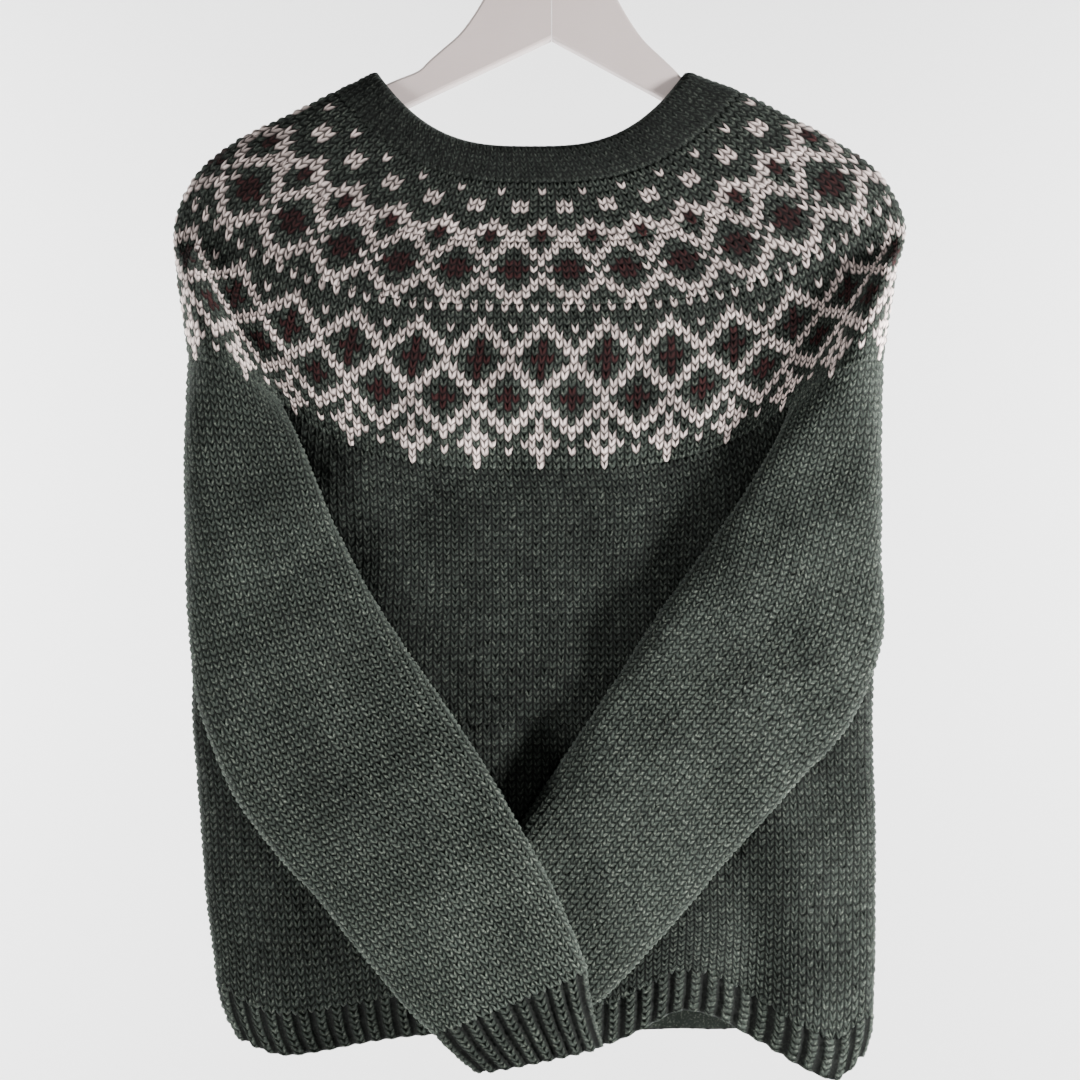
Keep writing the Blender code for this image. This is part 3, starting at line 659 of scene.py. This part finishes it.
def mixColour(tree, factor, first, second, place, blend="MIX"):
    made = node(tree, "ShaderNodeMix", place, data_type="RGBA", blend_type=blend)
    for socket, value in ((made.inputs[0], factor), (made.inputs[6], first), (made.inputs[7], second)):
        if isinstance(value, bpy.types.NodeSocket):
            tree.links.new(value, socket)
        elif isinstance(value, tuple):
            socket.default_value = (*value, 1.0)
        else:
            socket.default_value = value
    return made.outputs[2]


def bumpFrom(tree, source, place, strength, distance):
    made = node(tree, "ShaderNodeBump", place)
    made.inputs["Strength"].default_value = strength
    made.inputs["Distance"].default_value = distance
    tree.links.new(source, made.inputs["Height"])
    tree.links.new(made.outputs["Normal"], tree.nodes["Principled BSDF"].inputs["Normal"])


def newMaterial(name, settings):
    material = bpy.data.materials.new(name)
    material.use_nodes = True
    shader = material.node_tree.nodes["Principled BSDF"]
    for socket, value in settings.items():
        shader.inputs[socket].default_value = value
    return material, material.node_tree, shader


woolFinish = {
    "Roughness": 0.92,
    "Specular IOR Level": 0.18,
    "Sheen Weight": 0.08,
    "Sheen Roughness": 0.45,
    "Sheen Tint": (0.75, 0.85, 0.78, 1.0),
}
# Noise scales are in waves per metre
woolLook = {
    "fleckScale": 620.0,
    "fleckSpan": (0.52, 0.72),
    "patchScale": 21.0,
    "patchSpan": (0.3, 0.7),
    "patchShade": (0.86, 1.16),
    # stitchShade scales each stitch's random tone together with the piece's painted light and shade;
    # valleyShade is painted shade in the gaps between legs and a slight painted highlight on their tops
    "stitchShade": (0.82, 1.22),
    "valleySpan": (0.10, 0.85),
    "valleyShade": (0.12, 1.20),
    "fibreScale": 1500.0,
    "fibreTwist": 0.8,
    "fibreBump": 0.6,
    "fibreHeight": 0.0006,
}


def attributeParts(tree, name, place):
    made = node(tree, "ShaderNodeVertexColor", place, layer_name=name)
    parts = node(tree, "ShaderNodeSeparateColor", (place[0] + 1, place[1]))
    tree.links.new(made.outputs["Color"], parts.inputs["Color"])
    return parts.outputs


def woolMaterial(name):
    look = woolLook
    material, tree, shader = newMaterial(name, woolFinish)
    spots = node(tree, "ShaderNodeTexCoord", (-10, 0)).outputs["Object"]
    tone = attributeParts(tree, "yarnTone", (-10, 2))
    rise = attributeParts(tree, "yarnRise", (-10, 4))
    fleck = noise(tree, spots, (-8, 0), look["fleckScale"], 3.0)
    patch = noise(tree, spots, (-8, -2), look["patchScale"], 3.0)
    fleckRamp = node(tree, "ShaderNodeValToRGB", (-7, 0))
    for stop, position in zip(fleckRamp.color_ramp.elements, look["fleckSpan"]):
        stop.position = position
    tree.links.new(fleck.outputs["Fac"], fleckRamp.inputs["Fac"])

    heather = mixColour(tree, fleckRamp.outputs["Color"], woolColours["green"], woolColours["fleck"], (-6, 0))
    yarn = mixColour(tree, tone["Red"], heather, woolColours["pale"], (-5, 0))
    yarn = mixColour(tree, tone["Green"], yarn, woolColours["warm"], (-4, 0))
    # the stitch factor brings in each stitch's random tone with the piece's painted light and shade; the
    # valley factor is painted shade in the gaps between legs with a slight painted highlight on their tops;
    # the patch factor is random tone
    shades = (
        mapRange(tree, tone["Blue"], (-5, 2), look["stitchShade"], clamp=False),
        mapRange(tree, rise["Red"], (-5, 4), look["valleyShade"], look["valleySpan"],
                 interpolation_type="SMOOTHSTEP"),
        mapRange(tree, patch.outputs["Fac"], (-5, -2), look["patchShade"], look["patchSpan"]),
    )
    for step, shade in enumerate(shades):
        yarn = mixColour(tree, 1.0, yarn, shade, (-3 + step, 0), "MULTIPLY")
    tree.links.new(yarn, shader.inputs["Base Color"])

    fibres = noise(tree, spots, (-3, -3), look["fibreScale"], 4.0)
    fibres.inputs["Distortion"].default_value = look["fibreTwist"]
    bumpFrom(tree, fibres.outputs["Fac"], (-1, -3), look["fibreBump"], look["fibreHeight"])
    return material


def woodMaterial():
    # painted shade: the hanger's white paint is given as a pinkish grey, the shade it hangs in
    look = {"shadedPaint": (0.54, 0.455, 0.435), "worn": (0.48, 0.40, 0.38), "grainScale": 95.0,
            "grainStretch": (1.0, 3.0, 6.0), "brushScale": 18.0, "grainBump": 0.25, "grainHeight": 0.0003}
    material, tree, shader = newMaterial("paintedWood", {"Roughness": 0.42})
    spots = node(tree, "ShaderNodeTexCoord", (-8, 0)).outputs["Object"]
    stretch = node(tree, "ShaderNodeMapping", (-7, 0))
    stretch.inputs["Scale"].default_value = look["grainStretch"]
    tree.links.new(spots, stretch.inputs["Vector"])
    grain = noise(tree, stretch.outputs["Vector"], (-6, 0), look["grainScale"], 5.0)
    brush = noise(tree, spots, (-6, -2), look["brushScale"])
    shadedPaint = mixColour(tree, brush.outputs["Fac"], look["shadedPaint"], look["worn"], (-4, 0))
    tree.links.new(shadedPaint, shader.inputs["Base Color"])
    bumpFrom(tree, grain.outputs["Fac"], (-2, -2), look["grainBump"], look["grainHeight"])
    return material


def wireMaterial():
    look = {"steel": (0.56, 0.56, 0.57), "dull": (0.42, 0.42, 0.43), "drawnScale": 260.0,
            "roughness": (0.28, 0.42)}
    material, tree, shader = newMaterial("hookSteel", {"Metallic": 1.0})
    spots = node(tree, "ShaderNodeTexCoord", (-6, 0)).outputs["Object"]
    drawn = noise(tree, spots, (-5, 0), look["drawnScale"], 4.0)
    steel = mixColour(tree, drawn.outputs["Fac"], look["steel"], look["dull"], (-3, 0))
    tree.links.new(steel, shader.inputs["Base Color"])
    rough = mapRange(tree, drawn.outputs["Fac"], (-3, -2), look["roughness"])
    tree.links.new(rough, shader.inputs["Roughness"])
    return material


# Three bands of a made-up chart, o pale, x warm and . ground, turned so that their repeats stand in line
yokeBands = (
    {"stitches": 130, "rows": 10, "turned": 0, "chart": (
        ".....",
        "o....",
        ".....",
        "..oo.",
        "..oo.",
        ".....",
        "o....",
        "oo..o",
        "xoooo",
        "x.oo.",
    )},
    {"stitches": 182, "rows": 10, "turned": 3, "chart": (
        "oo...oo",
        ".oo.oo.",
        "..ooo..",
        "x..o..x",
        "xxo.oxx",
        "x..o..x",
        "..ooo..",
        ".oo.oo.",
        "oo...oo",
        "o.....o",
    )},
    # on this band the yoke's painted shade fades from full at its top to none at its lower edge
    {"stitches": 208, "rows": 22, "turned": 3, "paintedShadingRows": (1.0, 0.0), "chart": (
        "o.o.o.o.",
        "........",
        "...o....",
        "..ooo..o",
        ".oo.oo..",
        "oo.x.oo.",
        "o..x..oo",
        "..xxx..o",
        "o..x..oo",
        "oo.x.oo.",
        ".oo.oo..",
        "..ooo..x",
        "x..o..xx",
        "..ooo..x",
        ".oo.oo..",
        "oo.o.oo.",
        "o..o..oo",
        "..ooo..o",
        ".oo.oo..",
        "..ooo..o",
        "...o....",
        "...o....",
    )},
)

# Tops lie under the piece above and bottoms over the piece below, or are free; the wool's tone is shifted by
# painted light above nought and painted shade below nought, with the share of it at the top and at the bottom
tubes = {
    # painted shade darkens the collar and the body as a whole; on the sleeves painted light grows from the
    # shoulder to the cuff
    "collar": {"stitches": 116, "rows": 7, "rib": False, "top": "free", "bottom": "over", "innerRows": 3,
               "puff": 0.0009, "depth": 0.6, "paintedShading": -0.9, "seed": 1},
    "body": {"stitches": 178, "rows": 39, "rib": False, "top": "under", "bottom": "over", "innerRows": 9,
             "paintedShading": -0.95},
    "hem": {"stitches": 85, "rows": 7, "rib": True, "top": "under", "bottom": "free", "innerRows": 3,
            "seed": 7},
    "sleeve": {"stitches": 58, "rows": 104, "width": 0.0056, "anchor": 0.25, "rib": False, "top": "under",
               "bottom": "over", "innerRows": 17, "paintedShadingRows": (-0.2, 1.0)},
    "cuff": {"stitches": 20, "rows": 11, "rib": True, "top": "under", "bottom": "free", "innerRows": 4},
}
# the body's painted shade stays full on the upper half and eases towards the hem on the lower half
bodyHalves = {
    "Upper": {"from": 0.0, "to": 0.5, "seed": 5},
    "Lower": {"from": 0.5, "to": 1.0, "seed": 6, "paintedShadingRows": (1.0, 0.4)},
}
# painted light on the sleeves, stronger on the left sleeve than on the right
sleeveSides = {
    "left": {"seed": 9, "paintedShading": 1.4},
    "right": {"seed": 11, "paintedShading": 0.75},
}
# painted shade darkens the yoke's ground
yokeBand = {"rib": False, "top": "under", "bottom": "over", "paintedShading": -0.9}
yokeSeed = 20
upperBands = 2       # how many bands the upper piece of the yoke has


def yokePlans(collarShare):
    total = sum(band["rows"] for band in yokeBands)
    span = 1.0 - collarShare
    plans, done = [], 0
    for index, band in enumerate(yokeBands):
        places = [collarShare + span * row / total for row in (done, done + band["rows"])]
        plans.append({**band, **yokeBand, "seed": yokeSeed + index, "innerRows": band["rows"] // 2,
                      "from": places[0], "to": places[1]})
        done += band["rows"]
    return plans


def makeKnit():
    plain = woolMaterial("heatherWool")
    patterned = woolMaterial("patternWool")
    yoke = surfaceThrough(yokeRings())
    collarShare = yoke["down"][yokeShape["collarSpans"] * surfaceLines] / yoke["down"][-1]
    collar = {**tubes["collar"], "from": 0.0, "to": collarShare}
    knitPiece("collarRib", yoke, [collar], patterned, "collar_rib")
    bands = yokePlans(collarShare)
    for part, plans in (("Upper", bands[:upperBands]), ("Lower", bands[upperBands:])):
        knitPiece("yoke" + part + "Knit", yoke, plans, patterned, "yoke")

    body = surfaceThrough(bodyRings())
    for part, plan in bodyHalves.items():
        knitPiece("body" + part + "Knit", body, [{**tubes["body"], **plan}], plain, "body")
    hem = surfaceThrough(hemRings())
    knitPiece("hemRib", hem, [tubes["hem"]], plain, "hem_rib")

    for side, plan in sleeveSides.items():
        knitPiece(side + "SleeveKnit", surfaceThrough(sleeveRings(side)), [{**tubes["sleeve"], **plan}],
                  plain, "sleeve_" + side)
        cuff = [sleeveSection(row) for row in sleeveShape[side + "Cuff"]]
        knitPiece(side + "CuffRib", surfaceThrough(cuff), [{**tubes["cuff"], "seed": plan["seed"] + 1}],
                  plain, "cuff_" + side)


# The hanger's hook, from its tip round to the wood
hookShape = {
    "wire": 0.0019,
    "innerRadius": 0.020,
    "tipAngle": math.radians(205),
    "turnAngle": math.radians(-38),
    "arcPoints": 28,
    "bendLines": 3,
    "roundSteps": 5,
    "bends": ((0.0065, 0.0, -0.0425), (0.0, 0.0, -0.049), (0.0, 0.0, -0.0567)),
}


def makeHook():
    radius = hookShape["innerRadius"] + hookShape["wire"]
    arc = [(radius * math.cos(angle), 0.0, radius * math.sin(angle) - hookShape["innerRadius"])
           for angle in np.linspace(hookShape["tipAngle"], hookShape["turnAngle"], hookShape["arcPoints"])]
    route = splineThrough(arc + list(hookShape["bends"]), hookShape["bendLines"])
    curve = bpy.data.curves.new("hookWire", "CURVE")
    curve.dimensions = "3D"
    curve.bevel_depth = hookShape["wire"]
    curve.bevel_resolution = hookShape["roundSteps"]
    curve.use_fill_caps = True
    line = curve.splines.new("POLY")
    line.points.add(len(route) - 1)
    for point, place in zip(line.points, route):
        point.co = (*place, 1.0)
    line.use_smooth = True
    curve.materials.append(wireMaterial())
    hook = bpy.data.objects.new("hookWire", curve)
    bpy.context.scene.collection.objects.link(hook)
    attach(hook, "root")
    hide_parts("hanger_hook")
    print("hook made")


def paintHanger():
    shadedPaint = woodMaterial()
    for name in ("hanger_arm_left", "hanger_arm_right"):
        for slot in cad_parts[name].material_slots:
            slot.material = shadedPaint
    print("hanger painted")


# Backdrop: a floor that bends up into a wall
stage = {
    "grey": (0.92, 0.92, 0.92),
    "floor": -1.92,
    "front": -4.1,
    "wall": 3.0,
    "bend": 1.04,
    "top": 4.1,
    "halfWidth": 5.9,
    "strips": 8,
    "bendSteps": 12,
}


def makeBackdrop():
    mesh = bmesh.new()
    bmesh.ops.create_grid(mesh, x_segments=stage["strips"], y_segments=1, size=1.0)
    # the grid folds to one row of edges, which is drawn back along the floor and up the wall
    for vert in mesh.verts:
        vert.co = Vector((vert.co.x * stage["halfWidth"], stage["front"], stage["floor"]))
    bmesh.ops.remove_doubles(mesh, verts=mesh.verts, dist=1e-5)
    route = [(stage["wall"] - stage["bend"], stage["floor"])]
    for angle in np.linspace(0.0, math.pi / 2, stage["bendSteps"] + 1)[1:]:
        route.append((stage["wall"] - stage["bend"] + stage["bend"] * math.sin(angle),
                      stage["floor"] + stage["bend"] * (1.0 - math.cos(angle))))
    route.append((stage["wall"], stage["top"]))
    here = (stage["front"], stage["floor"])
    edge = mesh.edges[:]
    for there in route:
        grown = bmesh.ops.extrude_edge_only(mesh, edges=edge)["geom"]
        edge = [item for item in grown if isinstance(item, bmesh.types.BMEdge)]
        moved = [item for item in grown if isinstance(item, bmesh.types.BMVert)]
        bmesh.ops.translate(mesh, vec=(0.0, there[0] - here[0], there[1] - here[1]), verts=moved)
        here = there
    for face in mesh.faces:
        face.smooth = True
    data = bpy.data.meshes.new("backdrop")
    mesh.to_mesh(data)
    mesh.free()
    material = newMaterial("backdropPaper", {"Base Color": (*stage["grey"], 1.0), "Roughness": 1.0,
                                             "Specular IOR Level": 0.0})[0]
    data.materials.append(material)
    backdrop = bpy.data.objects.new("backdrop", data)
    bpy.context.scene.collection.objects.link(backdrop)
    print("backdrop up")


# Each lamp: place, aimed at, size, power
lights = {
    "keyLight": ((1.25, -0.60, -0.56), (0.0, 0.0, -0.50), 0.26, 72.0),
    "topLight": ((0.9, -1.9, 0.35), (0.0, 0.0, -0.20), 0.8, 9.0),
    "fillLight": ((-1.2, -1.0, -1.25), (-0.15, 0.0, -0.74), 0.5, 36.0),
    "leftBackdropLight": ((-2.95, 1.30, -0.07), (0.30, 3.0, -0.35), 1.8, 294.0),
    "rightBackdropLight": ((2.96, 1.30, -0.07), (-0.29, 3.0, -0.35), 1.8, 285.0),
}
room = {"tint": (0.95, 0.97, 1.0), "strength": 0.07}
view = {"place": (-0.0082, -1.325, -0.4761), "lens": 62.8, "sensor": 36.0}


def makeLights():
    for name, (place, target, size, power) in lights.items():
        lamp = bpy.data.lights.new(name, "AREA")
        lamp.energy = power
        lamp.size = size
        made = bpy.data.objects.new(name, lamp)
        made.location = place
        made.rotation_euler = (Vector(target) - Vector(place)).to_track_quat("-Z", "Y").to_euler()
        bpy.context.scene.collection.objects.link(made)
    world = bpy.data.worlds.new("studio")
    world.use_nodes = True
    background = world.node_tree.nodes["Background"]
    background.inputs["Color"].default_value = (*room["tint"], 1.0)
    background.inputs["Strength"].default_value = room["strength"]
    bpy.context.scene.world = world
    print("scene lit")


def makeCamera():
    camera = bpy.data.cameras.new("camera")
    camera.lens = view["lens"]
    camera.sensor_width = view["sensor"]
    made = bpy.data.objects.new("camera", camera)
    made.location = view["place"]
    made.rotation_euler = (math.pi / 2, 0.0, 0.0)
    bpy.context.scene.collection.objects.link(made)
    bpy.context.scene.camera = made
    print("camera placed")


makeCamera()
makeKnit()
makeHook()
paintHanger()
makeBackdrop()
makeLights()
